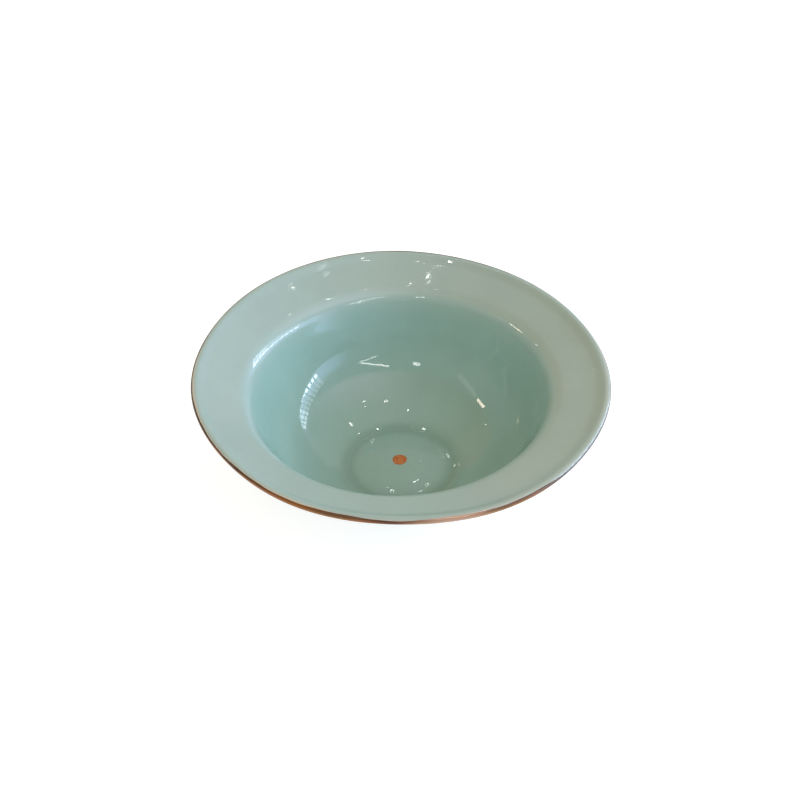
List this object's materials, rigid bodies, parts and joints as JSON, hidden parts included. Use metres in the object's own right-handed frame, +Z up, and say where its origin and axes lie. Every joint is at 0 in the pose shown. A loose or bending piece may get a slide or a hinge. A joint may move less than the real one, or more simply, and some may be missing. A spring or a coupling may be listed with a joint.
{
  "type": "soup bowl",
  "caption": "Round ceramic soup bowl with a broad rising rim, a deep steep-walled well, a small foot ring, celadon glaze and a gilded lip.",
  "frame": {"origin": "centre of the foot ring's underside, where the bowl's axis meets the table", "axes": "+Z up along the bowl's axis; X and Y lie in the table's plane"},
  "size_m": [0.22, 0.22, 0.074],
  "materials": {
    "stoneware": "bare fired buff stoneware, matt",
    "celadon_glaze": "glossy grey-green celadon glaze",
    "copper_gold": "painted copper-gold lustre, satin"
  },
  "bodies": {
    "root": {"clay_body": "stoneware", "inside_glaze": "celadon_glaze", "outside_glaze": "celadon_glaze", "foot_well_glaze": "celadon_glaze", "lip_gilding": "copper_gold", "centre_dot": "copper_gold"}
  },
  "joints": []
}
